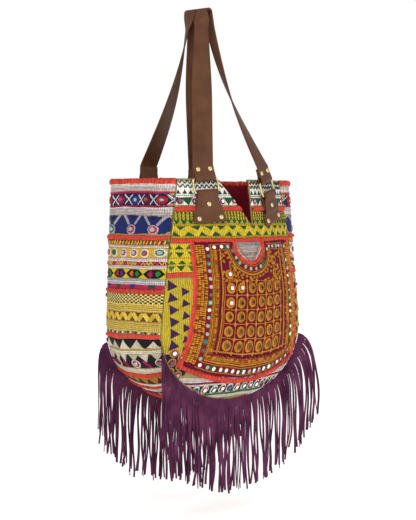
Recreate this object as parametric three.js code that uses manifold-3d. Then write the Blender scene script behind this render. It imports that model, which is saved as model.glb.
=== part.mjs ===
// Fringe tote bag, hanging by its two handles. Millimetres, +Z up, front facing -Y.
// The origin is the underside of the straps at the top, where a hook or a hand carries them.
import * as THREE from "three";
import { mergeVertices } from "three/addons/utils/BufferGeometryUtils.js";
import Module from "manifold-3d";

const wasm = await Module();
wasm.setup();
const { lerp, smoothstep, clamp, degToRad } = THREE.MathUtils;

// Driving sizes
const rimZ = -270; // height of the bag's rim
const cornerDrop = 232; // depth below the rim where the round bottom begins
const cornerDepth = 110; // height of the round bottom
const wall = 2.4; // patchwork cloth
const gap = 0.35; // clearance between pieces
const patchGap = 0.8; // clearance of what lies on the puffed front
const liningWall = 1.0;
const leather = 2.6;
const strapWidth = 37;
const barSection = 3.5; // ring wire
const fringeLength = 149;

// The bag's plan at a few depths below the rim. half is the seams' half-width, and depth and rear
// place the front and back seams. front, back, left and right say how far the walls puff out
// between them, and a high square makes a side turn sharply at its seams.
const sections = [
  { drop: 0, half: 119, depth: 60, rear: 79, front: 24, back: 4, left: 24, right: 54, square: 6 },
  { drop: 90, half: 138, depth: 64, rear: 68, front: 36, back: 18, left: 20, right: 46, square: 4 },
  { drop: 175, half: 156, depth: 68, rear: 54, front: 46, back: 28, left: 15, right: 34, square: 2.4 },
  { drop: 232, half: 163, depth: 68, rear: 48, front: 46, back: 31, left: 13, right: 27, square: 2 },
];
const bottomPuff = 12;

// The dip in the front rim: a slanting left side and a nearly upright right side.
const dip = { left: -51, foot: 13, right: 18, depth: 76 };

// The mirror-work patch on the front, as x and depth below the rim.
const patch = {
  top: 97,
  topLeft: -104,
  topRight: 116,
  side: 280,
  sideLeft: -126,
  sideRight: 122,
  bottom: 307,
  scoopX: -3,
  scoopRadius: 36,
};
const binding = { width: 7, height: 3.4, clear: 1.4 };
const rimBinding = { height: 9, thickness: 4, rise: 0.4 };

// Handles: where the left and right tabs sit on each panel, how far they lean in degrees, and where
// the straps pass over the hook. twist is the share of a leg's quarter turn that is spread along it.
const handles = {
  front: { side: -1, ends: [{ x: -74, lean: 4, twist: 0 }, { x: 70, lean: 14, twist: 0.85 }], hookY: -5.5 },
  back: { side: 1, ends: [{ x: -28, lean: 0, twist: 0.65 }, { x: 84, lean: 0, twist: 0.65 }], hookY: 20 },
};
const hook = { centreZ: -5, radius: 6.3, strapWidth: 24, gather: 0.3 }; // straps curl narrower on it
const strapBow = 11; // how far each leg of a strap bends inward
const tab = { drop: 40, standoff: 1.7, topWidth: 38, bottomWidth: 60, bottom: -68 };
const ring = { width: 48, height: 25.5, upper: 0, lower: -22 };
const rivet = { head: 4, rise: 2.2, post: 1.5, hole: 1.9 };

const sideRows = 6; // rows of facets down the straight sides
const cornerRows = 4; // rows in the round bottom
const columns = 12; // facets across a panel
const acrossGusset = 6; // facets across the gusset, even
const cornerAngle = Math.PI / 4; // where a side row becomes a bottom column

const materials = {
  cloth: new THREE.MeshStandardMaterial({ color: 0xb98a2c, roughness: 0.9 }),
  lining: new THREE.MeshStandardMaterial({ color: 0x4d0a16, roughness: 0.85 }),
  coral: new THREE.MeshStandardMaterial({ color: 0xd9492f, roughness: 0.9 }),
  leather: new THREE.MeshStandardMaterial({ color: 0x6b4430, roughness: 0.6 }),
  suede: new THREE.MeshStandardMaterial({ color: 0x4a2338, roughness: 0.95 }),
  brass: new THREE.MeshStandardMaterial({ color: 0xd8bf86, roughness: 0.3, metalness: 1 }),
};

// Closed mesh from points and triangles, turned so that its faces point out.
function closedGeometry(points, triangles) {
  let volume = 0;
  for (const [a, b, c] of triangles) {
    volume += points[a].dot(points[b].clone().cross(points[c]));
  }
  const order = volume < 0 ? triangles.map(([a, b, c]) => [a, c, b]) : triangles;
  const geometry = new THREE.BufferGeometry();
  const coordinates = points.flatMap((v) => v.toArray());
  geometry.setAttribute("position", new THREE.Float32BufferAttribute(coordinates, 3));
  geometry.setIndex(order.flat());
  return geometry;
}

function solidOf(geometry) {
  const bare = new THREE.BufferGeometry();
  bare.setAttribute("position", geometry.getAttribute("position"));
  if (geometry.index) bare.setIndex(geometry.index);
  const merged = mergeVertices(bare, 1e-4);
  return new wasm.Manifold(
    new wasm.Mesh({
      numProp: 3,
      vertProperties: new Float32Array(merged.attributes.position.array),
      triVerts: new Uint32Array(merged.index.array),
    }),
  );
}

function geometryOf(solid) {
  const mesh = solid.getMesh();
  const geometry = new THREE.BufferGeometry();
  geometry.setAttribute("position", new THREE.BufferAttribute(mesh.vertProperties, 3));
  geometry.setIndex(new THREE.BufferAttribute(mesh.triVerts, 1));
  return geometry;
}

const cut = (geometry, tools) =>
  geometryOf(tools.reduce((solid, tool) => solid.subtract(solidOf(tool)), solidOf(geometry)));
const join = (geometries) => geometryOf(geometries.map(solidOf).reduce((a, b) => a.add(b)));

// A wall between two grids of points of the same size, closed round its edge.
function wallBetween(outer, inner) {
  const rows = outer.length;
  const cols = outer[0].length;
  const points = [...outer.flat(), ...inner.flat()];
  const at = (layer, r, c) => layer * rows * cols + r * cols + c;
  const triangles = [];
  const quad = (a, b, c, d) => triangles.push([a, b, c], [a, c, d]);
  for (let r = 0; r + 1 < rows; r++) {
    for (let c = 0; c + 1 < cols; c++) {
      quad(at(0, r, c), at(0, r, c + 1), at(0, r + 1, c + 1), at(0, r + 1, c));
      quad(at(1, r, c), at(1, r + 1, c), at(1, r + 1, c + 1), at(1, r, c + 1));
    }
    quad(at(0, r, 0), at(0, r + 1, 0), at(1, r + 1, 0), at(1, r, 0));
    quad(at(0, r, cols - 1), at(1, r, cols - 1), at(1, r + 1, cols - 1), at(0, r + 1, cols - 1));
  }
  for (let c = 0; c + 1 < cols; c++) {
    quad(at(0, 0, c), at(1, 0, c), at(1, 0, c + 1), at(0, 0, c + 1));
    quad(at(0, rows - 1, c), at(0, rows - 1, c + 1), at(1, rows - 1, c + 1), at(1, rows - 1, c));
  }
  return closedGeometry(points, triangles);
}

// A flat strip swept through stations of point, width direction, face direction, width and thickness.
function strip(stations, closed = false) {
  const points = stations.flatMap(({ point, across, face, width, thickness }) =>
    [[-1, -1], [1, -1], [1, 1], [-1, 1]].map(([a, b]) =>
      point.clone().addScaledVector(across, (a * width) / 2).addScaledVector(face, (b * thickness) / 2),
    ),
  );
  const count = stations.length;
  const triangles = [];
  for (let s = 0; s < (closed ? count : count - 1); s++) {
    const here = s * 4;
    const next = ((s + 1) % count) * 4;
    for (let k = 0; k < 4; k++) {
      const j = (k + 1) % 4;
      triangles.push([here + k, here + j, next + j], [here + k, next + j, next + k]);
    }
  }
  if (!closed) {
    const end = (count - 1) * 4;
    triangles.push([0, 2, 1], [0, 3, 2], [end, end + 1, end + 2], [end, end + 2, end + 3]);
  }
  return closedGeometry(points, triangles);
}

// The section table read at any depth, smoothly.
const columnNames = ["half", "depth", "rear", "front", "back", "left", "right", "square"];
const table = new THREE.CubicInterpolant(
  sections.map((row) => row.drop),
  sections.flatMap((row) => columnNames.map((name) => row[name])),
  columnNames.length,
);
function planAt(drop) {
  const values = table.evaluate(clamp(drop, 0, cornerDrop));
  return Object.fromEntries(columnNames.map((name, i) => [name, values[i]]));
}
const seamDepth = (side, plan) => (side < 0 ? plan.depth : plan.rear);
const sidePuff = (x, t, plan) => (x < 0 ? plan.left : plan.right) * (1 - Math.abs(t) ** plan.square);

// Outer face of the front (side -1) or back (side 1) panel at x and a depth below the rim.
function panelY(side, x, drop) {
  const plan = planAt(drop);
  const across = x / plan.half;
  const down = Math.max(0, drop - cornerDrop) / cornerDepth;
  const puff = side < 0 ? plan.front : plan.back;
  return side * (seamDepth(side, plan) + puff * Math.max(0, 1 - across * across - down * down));
}
const panelPoint = (side, x, drop) => new THREE.Vector3(x, panelY(side, x, drop), rimZ - drop);
function panelNormal(side, x, drop) {
  const step = 2;
  const slopeX = (panelY(side, x + step, drop) - panelY(side, x - step, drop)) / (2 * step);
  const slopeZ = (panelY(side, x, drop - step) - panelY(side, x, drop + step)) / (2 * step);
  return new THREE.Vector3(-side * slopeX, side, -side * slopeZ).normalize();
}
const abovePanel = (side, x, drop, rise) =>
  panelPoint(side, x, drop).addScaledVector(panelNormal(side, x, drop), rise);

const spaced = (count, from, to) =>
  Array.from({ length: count + 1 }, (_, i) => from + ((to - from) * i) / count);

// Rows of [x, drop] over a panel, drawn in from the seam by inset.
function panelRows(inset, topDrop = 0) {
  const straight = spaced(sideRows, topDrop, cornerDrop).map((drop) => {
    const plan = planAt(drop);
    return spaced(columns, -1, 1).map((p) => [p * (plan.half - inset), drop]);
  });
  const plan = planAt(cornerDrop);
  const a = plan.half - inset;
  const b = cornerDepth - inset;
  const round = spaced(cornerRows, 0, 1)
    .slice(1)
    .map((q) =>
      spaced(columns, -1, 1).map((p) => {
        const angle = q * cornerAngle;
        const x = p * a * Math.cos(angle);
        const arc = Math.sqrt(1 - (p * Math.cos(cornerAngle)) ** 2) - Math.sin(cornerAngle);
        const sag = q ** 1.5 * b * arc;
        return [x, cornerDrop + b * Math.sin(angle) + sag];
      }),
    );
  return [...straight, ...round];
}

// The U-shaped seam as [x, drop], from the left rim round the bottom to the right rim.
function seamLine(inset, topDrop = 0) {
  const rows = panelRows(inset, topDrop);
  const last = rows.length - 1;
  const left = rows.map((row) => row[0]);
  const right = rows.map((row) => row[columns]);
  return [...left, ...rows[last].slice(1, columns), ...right.reverse()];
}

function panel(side, edgeInset, outerRise, thickness) {
  const rows = panelRows(edgeInset);
  const place = (x, drop, depth) => new THREE.Vector3(x, panelY(side, x, drop) - side * depth, rimZ - drop);
  const layer = (depth) => rows.map((row) => row.map(([x, drop]) => place(x, drop, depth)));
  return wallBetween(layer(outerRise), layer(outerRise + thickness));
}

// Outward direction in the XZ plane at each point of a seam line: level on the straight sides
function seamNormals(line) {
  return line.map(([x, drop], i) => {
    if (drop <= cornerDrop) return new THREE.Vector3(Math.sign(x), 0, 0);
    const [x0, d0] = line[i - 1];
    const [x1, d1] = line[i + 1];
    return new THREE.Vector3(d0 - d1, 0, x0 - x1).normalize();
  });
}

// The strip between the two seams. reach(side, i) is how far it runs in Y at point i of the seam.
function gussetStrip(inset, thickness, reach, topDrop, across) {
  const reference = seamLine(0, topDrop);
  const normals = seamNormals(reference);
  const layer = (depth) =>
    seamLine(depth, topDrop).map(([x, drop], i) => {
      const under = Math.max(0, reference[i][1] - cornerDrop) / cornerDepth;
      const plan = planAt(drop);
      return spaced(across, -1, 1).map((t) => {
        const bulge = lerp(sidePuff(x, t, plan), bottomPuff * (1 - t * t), under ** 2);
        const point = new THREE.Vector3(x, t * reach(Math.sign(t), i), rimZ - drop);
        return point.addScaledVector(normals[i], bulge);
      });
    });
  return wallBetween(layer(inset), layer(inset + thickness));
}

// The wedge that opens the dip in the rim.
function dipWedge() {
  const shape = new THREE.Shape();
  shape.moveTo(dip.left, 2);
  shape.lineTo(dip.foot, -dip.depth);
  shape.lineTo(dip.right, 2);
  shape.closePath();
  const wedge = new THREE.ExtrudeGeometry(shape, { depth: 100, bevelEnabled: false });
  return wedge.rotateX(Math.PI / 2).translate(0, -40, rimZ);
}

function mesh(name, geometry, material) {
  const made = new THREE.Mesh(geometry, material);
  made.name = name;
  return made;
}

// Cloth walls and lining
function cloth() {
  const group = new THREE.Group();
  const seamInset = wall + gap;
  const gussetTop = rimBinding.height + gap;
  const seams = seamLine(0, gussetTop);
  const toSeam = (side, i) => seamDepth(side, planAt(seams[i][1]));
  group.add(
    mesh("front_panel", cut(panel(-1, seamInset, 0, wall), [dipWedge()]), materials.cloth),
    mesh("back_panel", panel(1, seamInset, 0, wall), materials.cloth),
    mesh("gusset", gussetStrip(0, wall, toSeam, gussetTop, acrossGusset), materials.cloth),
  );
  const inside = wall + 1.2;
  const edges = seamLine(inside);
  const toPanel = (side, i) => Math.abs(panelY(side || 1, ...edges[i])) - wall - 2 * gap;
  const within = inside + liningWall + gap;
  group.add(
    mesh("lining_sides", gussetStrip(inside, liningWall, toPanel, 0, acrossGusset / 2), materials.lining),
    mesh("lining_front", cut(panel(-1, within, inside, liningWall), [dipWedge()]), materials.lining),
    mesh("lining_back", panel(1, within, inside, liningWall), materials.lining),
  );
  return group;
}

// Rolled coral binding on the top edge of the gusset, on one side of the bag
function rimBindingBar(side) {
  const plan = planAt(rimBinding.height);
  const place = (t) => {
    const x = side * (plan.half + sidePuff(side, t, plan));
    return new THREE.Vector3(x, t * seamDepth(t, plan), rimZ - rimBinding.height / 2);
  };
  const reach = 0.95; // stops short of the seams
  const stations = spaced(acrossGusset, -reach, reach).map((t) => {
    const along = place(t + 0.03).sub(place(t - 0.03));
    const face = new THREE.Vector3(side * along.y, -side * along.x, 0).normalize();
    const point = place(t);
    return {
      point: point.addScaledVector(face, rimBinding.rise),
      across: new THREE.Vector3(0, 0, 1),
      face,
      width: rimBinding.height,
      thickness: rimBinding.thickness,
    };
  });
  return strip(stations);
}

// Outline of the patch as [x, drop], clockwise from its top left corner
function patchRows(grow, rows, cols) {
  return spaced(rows, 0, 1).map((v) =>
    spaced(cols, -1, 1).map((p) => {
      const left = lerp(patch.topLeft, patch.sideLeft, v ** 2) - grow;
      const right = lerp(patch.topRight, patch.sideRight, v ** 2) + grow;
      const x = lerp(left, right, (p + 1) / 2);
      const drop = lerp(patch.top - grow, patch.side + grow, v);
      return [x, drop + v * v * (patch.bottom - patch.side) * (1 - p * p)];
    }),
  );
}

function mirrorPatch() {
  const rows = patchRows(0, 10, 12);
  const thickness = 1.5;
  const layer = (rise) => rows.map((row) => row.map(([x, drop]) => abovePanel(-1, x, drop, rise)));
  const slab = wallBetween(layer(patchGap + thickness), layer(patchGap));
  const scoop = new THREE.CylinderGeometry(patch.scoopRadius, patch.scoopRadius, 100, 18);
  scoop.translate(patch.scoopX, -90, rimZ - patch.top);
  return cut(slab, [scoop]);
}

// Raised binding round the patch, dipping under the scoop along its top edge
function patchBinding() {
  const rows = patchRows(binding.width / 2 + binding.clear, 8, 10);
  const radius = patch.scoopRadius - binding.width / 2 - binding.clear;
  const before = rows[0].filter(([x]) => x < patch.scoopX - patch.scoopRadius - 4);
  const after = rows[0].filter(([x]) => x > patch.scoopX + patch.scoopRadius + 4);
  const arc = spaced(8, Math.PI, 0).map((angle) => [
    patch.scoopX + radius * Math.cos(angle),
    patch.top + radius * Math.sin(angle),
  ]);
  const mouth = [-1, 1].map((s) => [patch.scoopX + s * radius, rows[0][0][1]]);
  const scoop = [mouth[0], ...arc, mouth[1]];
  const right = rows.slice(1).map((row) => row[row.length - 1]);
  const bottom = rows[rows.length - 1].slice(1, -1).reverse();
  const left = rows.slice(1).map((row) => row[0]).reverse();
  const path = [...before, ...scoop, ...after, ...right, ...bottom, ...left];
  const stations = path.map(([x, drop], i) => {
    const [x0, d0] = path[(i + path.length - 1) % path.length];
    const [x1, d1] = path[(i + 1) % path.length];
    const face = panelNormal(-1, x, drop);
    const along = new THREE.Vector3(x1 - x0, 0, d0 - d1).normalize();
    const ahead = new THREE.Vector3(x1 - x, 0, drop - d1).normalize();
    const corner = 1 / Math.max(0.75, Math.abs(along.dot(ahead))); // mitred where the path turns
    return {
      point: abovePanel(-1, x, drop, patchGap + 0.6 + binding.height / 2),
      across: face.clone().cross(along).normalize(),
      face,
      width: binding.width * corner,
      thickness: binding.height,
    };
  });
  return strip(stations, true);
}

// Frame of one handle end: X along the panel, Y up from the rim, Z outward, leaning about the tab's foot
function endFrame(side, { x, lean }) {
  const outward = panelNormal(side, x, tab.drop);
  const up = new THREE.Vector3(0, 0, 1).addScaledVector(outward, -outward.z).normalize();
  const frame = new THREE.Matrix4().makeBasis(up.clone().cross(outward), up, outward);
  const foot = panelPoint(side, x, tab.drop).addScaledVector(up, tab.drop + tab.bottom);
  frame.setPosition(foot.addScaledVector(outward, tab.standoff));
  frame.multiply(new THREE.Matrix4().makeRotationZ(degToRad(lean)));
  return frame.multiply(new THREE.Matrix4().makeTranslation(0, -tab.bottom, 0));
}

// Leather folded round a bar, as [height, rise] from the bag: layer heights shared by tabs and straps
const backRise = leather / 2;
const turn = barSection / 2 + 0.5 + leather / 2;
const barRise = backRise + turn;
const stackedRise = backRise + leather + gap;

function foldStations(path, widthAt, flip) {
  return path.map(([height, rise], i) => {
    const [h0, r0] = path[Math.max(0, i - 1)];
    const [h1, r1] = path[Math.min(path.length - 1, i + 1)];
    const along = new THREE.Vector3(0, h1 - h0, r1 - r0).normalize();
    const face = new THREE.Vector3(0, -along.z * flip, along.y * flip);
    return {
      point: new THREE.Vector3(0, height, rise),
      across: along.clone().cross(face),
      face,
      width: widthAt(height),
      thickness: leather,
    };
  });
}

function tabSheet() {
  const over = spaced(6, Math.PI, 0).map((angle) => [
    ring.lower + turn * Math.sin(angle),
    barRise + turn * Math.cos(angle),
  ]);
  const path = [
    [-44, backRise],
    [-34, backRise],
    ...over,
    [ring.lower - 8, stackedRise + 1.2],
    [ring.lower - 13, stackedRise],
    [-46, stackedRise],
    [-52, backRise + 0.8],
    [-55.5, backRise],
    [tab.bottom, backRise],
  ];
  const taper = (height) =>
    lerp(tab.topWidth, tab.bottomWidth, smoothstep(-height, 28, -tab.bottom));
  const sheet = strip(foldStations(path, taper, -1));
  return cut(sheet, tabRivets.map(({ x, height }) => rivetHole(x, height)));
}

const tabRivets = [
  { x: 0, height: -40, rise: stackedRise },
  { x: -20, height: -61, rise: backRise },
  { x: 20, height: -61, rise: backRise },
];
const strapRivets = [
  { x: -11, height: 14 },
  { x: 11, height: 14 },
];

function rivetHole(x, height) {
  const drill = new THREE.CylinderGeometry(rivet.hole, rivet.hole, 30, 6);
  return drill.rotateX(Math.PI / 2).translate(x, height, 5);
}

// Domed head with a post through the leather
function rivetGeometry() {
  const dome = spaced(2, 0, 1).map((t) => {
    const angle = (t * Math.PI) / 2;
    return new THREE.Vector2(rivet.head * Math.sin(angle), gap + 0.5 + (rivet.rise - 0.5) * Math.cos(angle));
  });
  const profile = [
    new THREE.Vector2(0, -leather * 0.9),
    new THREE.Vector2(rivet.post, -leather * 0.9),
    new THREE.Vector2(rivet.post, gap),
    new THREE.Vector2(rivet.head, gap),
    ...dome.reverse(),
  ];
  return new THREE.LatheGeometry(profile, 6).rotateX(Math.PI / 2);
}

// Rectangular ring: a rounded outline with a rounded opening
function ringGeometry() {
  const rounded = (target, width, height, radius) => {
    const x = width / 2 - radius;
    const y = height / 2 - radius;
    target.absarc(x, y, radius, 0, Math.PI / 2);
    target.absarc(-x, y, radius, Math.PI / 2, Math.PI);
    target.absarc(-x, -y, radius, Math.PI, Math.PI * 1.5);
    target.absarc(x, -y, radius, Math.PI * 1.5, Math.PI * 2);
    return target;
  };
  const bevel = 0.8;
  const shape = rounded(new THREE.Shape(), ring.width - 2 * bevel, ring.height - 2 * bevel, 3.2);
  const inner = 2 * (barSection - bevel);
  shape.holes.push(rounded(new THREE.Path(), ring.width - inner, ring.height - inner, 2.2));
  const geometry = new THREE.ExtrudeGeometry(shape, {
    depth: barSection - 2 * bevel,
    bevelThickness: bevel,
    bevelSize: bevel,
    bevelSegments: 1,
    curveSegments: 1,
  });
  return geometry.translate(0, (ring.upper + ring.lower) / 2, barRise - barSection / 2 + bevel);
}

// Strap end in its frame: doubled up behind, round the ring's upper bar, and up the front
function strapEnd() {
  const under = spaced(6, 0, Math.PI).map((angle) => [
    ring.upper - turn * Math.sin(angle),
    barRise - turn * Math.cos(angle),
  ]);
  const layer = (leather + gap) / 2;
  const path = [
    [28, barRise - layer],
    [12, barRise - layer],
    [6, barRise - layer - 1.2],
    ...under,
    [6, barRise + layer + 1.2],
    [12, barRise + layer],
    [30, barRise + layer],
  ];
  return foldStations(path, () => strapWidth, 1);
}

function strapStations(handle) {
  const { side, hookY } = handle;
  const ends = handle.ends.map((place) => {
    const frame = endFrame(side, place);
    return strapEnd().map((station) => ({
      ...station,
      point: station.point.clone().applyMatrix4(frame),
      across: station.across.clone().transformDirection(frame),
      face: station.face.clone().transformDirection(frame),
    }));
  });
  const [left, right] = ends;
  const start = left[left.length - 1];
  const finish = right[right.length - 1];
  const over = spaced(6, -74, 74).map((degrees) => {
    const angle = degToRad(degrees);
    return new THREE.Vector3(
      hook.radius * Math.sin(angle),
      hookY,
      hook.centreZ + hook.radius * Math.cos(angle),
    );
  });
  const leg = (end, top) => {
    const inward = new THREE.Vector3(-end.point.x, -end.point.y, 0).setLength(strapBow);
    const bent = (share) => inward.clone().multiplyScalar(Math.sin(Math.PI * share));
    return [0, 0.2, 0.45, 0.7, 0.9].map((share) => end.point.clone().lerp(top, share).add(bent(share)));
  };
  const route = new THREE.CatmullRomCurve3(
    [...leg(start, over[0]), ...over, ...leg(finish, over[6]).reverse()],
    false,
    "centripetal",
  );
  const steps = 26;
  const span = spaced(steps, -1, 1)
    .slice(1, -1)
    .map((s) => 0.5 + 0.5 * Math.sign(s) * Math.abs(s) ** 1.7)
    .map((u) => {
      const point = route.getPointAt(u);
      const along = route.getTangentAt(u);
      const climbed = Math.min(1, (0.5 - Math.abs(u - 0.5)) / 0.485);
      const { twist } = handle.ends[u < 0.5 ? 0 : 1];
      const turned = lerp(smoothstep(climbed, 0.88, 1), climbed, twist);
      const above = point.clone().sub(new THREE.Vector3(0, point.y, hook.centreZ)).normalize();
      const outer = new THREE.Vector3(Math.sign(u - 0.5), 0, 0);
      const upper = smoothstep(climbed, 0.95, 1);
      const end = u < 0.5 ? start.face : finish.face;
      const face = end.clone().lerp(outer.lerp(above, upper), turned);
      face.addScaledVector(along, -face.dot(along)).normalize();
      const open = smoothstep(Math.abs(u - 0.5), 0, hook.gather);
      const width = lerp(hook.strapWidth, strapWidth, open);
      return { point, across: along.clone().cross(face), face, width, thickness: leather };
    });
  const returning = right
    .slice()
    .reverse()
    .map((station) => ({ ...station, across: station.across.clone().negate() }));
  return { stations: [...left, ...span, ...returning], ends: [left, right] };
}

function handleSet(name, handle) {
  const group = new THREE.Group();
  const { stations } = strapStations(handle);
  let strap = strip(stations);
  for (const [i, end] of ["left", "right"].entries()) {
    const frame = endFrame(handle.side, handle.ends[i]);
    const fittings = new THREE.Group();
    fittings.applyMatrix4(frame);
    fittings.add(mesh(`tab_${name}_${end}`, tabSheet(), materials.leather));
    fittings.add(mesh(`ring_${name}_${end}`, ringGeometry(), materials.brass));
    const strapRise = barRise + (leather + gap) / 2;
    const spots = [...tabRivets, ...strapRivets.map((spot) => ({ ...spot, rise: strapRise }))];
    spots.forEach((spot, i) => {
      const head = mesh(`rivet_${name}_${end}_${i + 1}`, rivetGeometry(), materials.brass);
      head.position.set(spot.x, spot.height, spot.rise + leather / 2);
      fittings.add(head);
    });
    strap = cut(strap, strapRivets.map(({ x, height }) => rivetHole(x, height).applyMatrix4(frame)));
    group.add(fittings);
  }
  group.add(mesh(`handle_${name}`, strap, materials.leather));
  return group;
}

// Suede fringe on one U-shaped seam: a header strip with strips cut from it, fused into one piece
const fringe = { start: 250, header: 13, thickness: 1.7, strips: 15, stripWidth: 12, stand: 1.2 };

function seamAt(line, share) {
  const lengths = [0];
  for (let i = 1; i < line.length; i++) {
    lengths.push(lengths[i - 1] + Math.hypot(line[i][0] - line[i - 1][0], line[i][1] - line[i - 1][1]));
  }
  const goal = share * lengths[line.length - 1];
  const i = Math.max(1, lengths.findIndex((length) => length >= goal));
  const part = (goal - lengths[i - 1]) / (lengths[i] - lengths[i - 1]);
  const mix = (k) => lerp(line[i - 1][k], line[i][k], part);
  const along = new THREE.Vector3(line[i][0] - line[i - 1][0], 0, line[i - 1][1] - line[i][1]).normalize();
  return { x: mix(0), drop: mix(1), along };
}

// Route of the suede from the seam: out along the seam's own direction, then down under its weight
function suedeRoute(side, line, share, lengths) {
  const { x, drop, along } = seamAt(line, share);
  const outward = new THREE.Vector3(along.z, 0, -along.x);
  const sideways = Math.abs(outward.x);
  const leave = new THREE.Vector3(outward.x * 0.75, side * (0.3 + 0.55 * sideways), outward.z).normalize();
  const droop = 12 + (side < 0 ? 24 : 0) * sideways;
  const flat = new THREE.Vector3(leave.x, leave.y * sideways, 0);
  const hang = new THREE.Vector3(1, 0, 0);
  if (sideways > 0.35) hang.set(-flat.y, flat.x, 0).normalize();
  const down = new THREE.Vector3(0, 0, -1);
  const start = side * (seamDepth(side, planAt(drop)) + fringe.stand);
  const point = new THREE.Vector3(x, start, rimZ - drop);
  point.addScaledVector(outward, fringe.stand);
  let travelled = 0;
  return lengths.map((length) => {
    const steps = 6;
    for (let k = 0; k < steps; k++) {
      const middle = travelled + ((length - travelled) * (k + 0.5)) / steps;
      const keep = Math.exp(-middle / droop);
      const heading = leave.clone().multiplyScalar(keep).addScaledVector(down, 1 - keep).normalize();
      point.addScaledVector(heading, (length - travelled) / steps);
    }
    travelled = length;
    const keep = Math.exp(-length / droop);
    const heading = leave.clone().multiplyScalar(keep).addScaledVector(down, 1 - keep).normalize();
    const across = along.clone().multiplyScalar(keep).addScaledVector(hang, 1 - keep);
    across.addScaledVector(heading, -across.dot(heading)).normalize();
    return { point: point.clone(), across, face: heading.clone().cross(across) };
  });
}

function fringeOn(side) {
  const line = seamLine(0).filter(([, drop]) => drop >= fringe.start);
  const cuts = [fringe.header - 3, 26, 64, fringeLength];
  const headerShares = spaced(14, 0, 1);
  const roots = headerShares.map((share) => suedeRoute(side, line, share, [0, 7, fringe.header]));
  const layer = (shift) =>
    roots.map((root) => root.map(({ point, face }) => point.clone().addScaledVector(face, shift)));
  const header = wallBetween(layer(fringe.thickness / 2), layer(-fringe.thickness / 2));
  const strips = spaced(fringe.strips - 1, 0.012, 0.988).map((share, i) => {
    const width = fringe.stripWidth + (i % 3) - 1;
    const thickness = fringe.thickness + 0.35;
    return strip(suedeRoute(side, line, share, cuts).map((at) => ({ ...at, width, thickness })));
  });
  return join([header, ...strips]);
}

const bag = new THREE.Group();
bag.add(cloth());
bag.add(mesh("rim_binding_left", rimBindingBar(-1), materials.coral));
bag.add(mesh("rim_binding_right", rimBindingBar(1), materials.coral));
bag.add(mesh("mirror_patch", mirrorPatch(), materials.cloth));
bag.add(mesh("patch_binding", patchBinding(), materials.coral));
bag.add(handleSet("front", handles.front));
bag.add(handleSet("back", handles.back));
bag.add(mesh("fringe_front", fringeOn(-1), materials.suede));
bag.add(mesh("fringe_back", fringeOn(1), materials.suede));

export default bag;
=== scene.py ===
import bpy
import bmesh
import math
import random
from functools import partial
from mathutils import Vector, Matrix, noise


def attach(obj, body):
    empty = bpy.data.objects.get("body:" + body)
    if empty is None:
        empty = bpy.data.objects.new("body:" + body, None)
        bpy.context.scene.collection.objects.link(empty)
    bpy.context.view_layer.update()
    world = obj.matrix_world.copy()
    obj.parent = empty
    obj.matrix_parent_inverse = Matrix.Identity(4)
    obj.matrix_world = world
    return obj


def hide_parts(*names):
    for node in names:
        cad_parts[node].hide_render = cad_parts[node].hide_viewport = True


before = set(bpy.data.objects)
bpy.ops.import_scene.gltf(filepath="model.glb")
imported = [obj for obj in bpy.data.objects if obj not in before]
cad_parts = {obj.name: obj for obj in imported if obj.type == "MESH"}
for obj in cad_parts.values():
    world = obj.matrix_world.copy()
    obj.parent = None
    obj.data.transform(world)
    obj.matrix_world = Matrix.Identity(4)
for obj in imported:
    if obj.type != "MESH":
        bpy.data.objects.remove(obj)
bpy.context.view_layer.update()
mm = 0.001
random.seed(11)


# a random amount either way
def about(size):
    return random.uniform(-size, size)


# camera at the photo's angle: shows is the pixel where the bag's middle lies
photo = {"azimuth": -47.5, "elevation": 2.0, "distance": 2.3, "middle": (0, 0, -0.385),
         "metresPerPixel": 0.0016, "size": (416, 520), "shows": (201.5, 252)}


def makeCamera():
    turn, lift = math.radians(photo["azimuth"]), math.radians(photo["elevation"])
    back = Vector((math.sin(turn) * math.cos(lift), -math.cos(turn) * math.cos(lift), math.sin(lift)))
    right = Vector((math.cos(turn), math.sin(turn), 0))
    up = back.cross(right)
    wide, high = photo["size"]
    scale = photo["metresPerPixel"]
    aim = Vector(photo["middle"])
    aim += right * (wide / 2 - photo["shows"][0]) * scale - up * (high / 2 - photo["shows"][1]) * scale
    data = bpy.data.cameras.new("camera")
    data.sensor_fit = "VERTICAL"
    data.sensor_height = 36
    data.lens = 36 * photo["distance"] / (scale * high)
    camera = bpy.data.objects.new("camera", data)
    camera.location = aim + back * photo["distance"]
    camera.rotation_euler = back.to_track_quat("Z", "Y").to_euler()
    bpy.context.collection.objects.link(camera)
    bpy.context.scene.camera = camera


makeCamera()
print("camera set")

# the bag's plan at a few depths below the rim, in millimetres, as in the solids
bag = {
    "rim": -270, "cornerDrop": 232, "cornerDepth": 110, "bottomPuff": 12, "wall": 2.4, "lining": 1.0,
    "columns": ("drop", "half", "depth", "rear", "front", "back", "left", "right", "square"),
    "sections": (
        (0, 119, 60, 79, 24, 4, 24, 54, 6),
        (90, 138, 64, 68, 36, 18, 20, 46, 4),
        (175, 156, 68, 54, 46, 28, 15, 34, 2.4),
        (232, 163, 68, 48, 46, 31, 13, 27, 2),
    ),
    "dip": {"left": -51, "foot": 13, "right": 18, "depth": 76},
    "pucker": 1.1, "puckerSize": 21,
}


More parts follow.
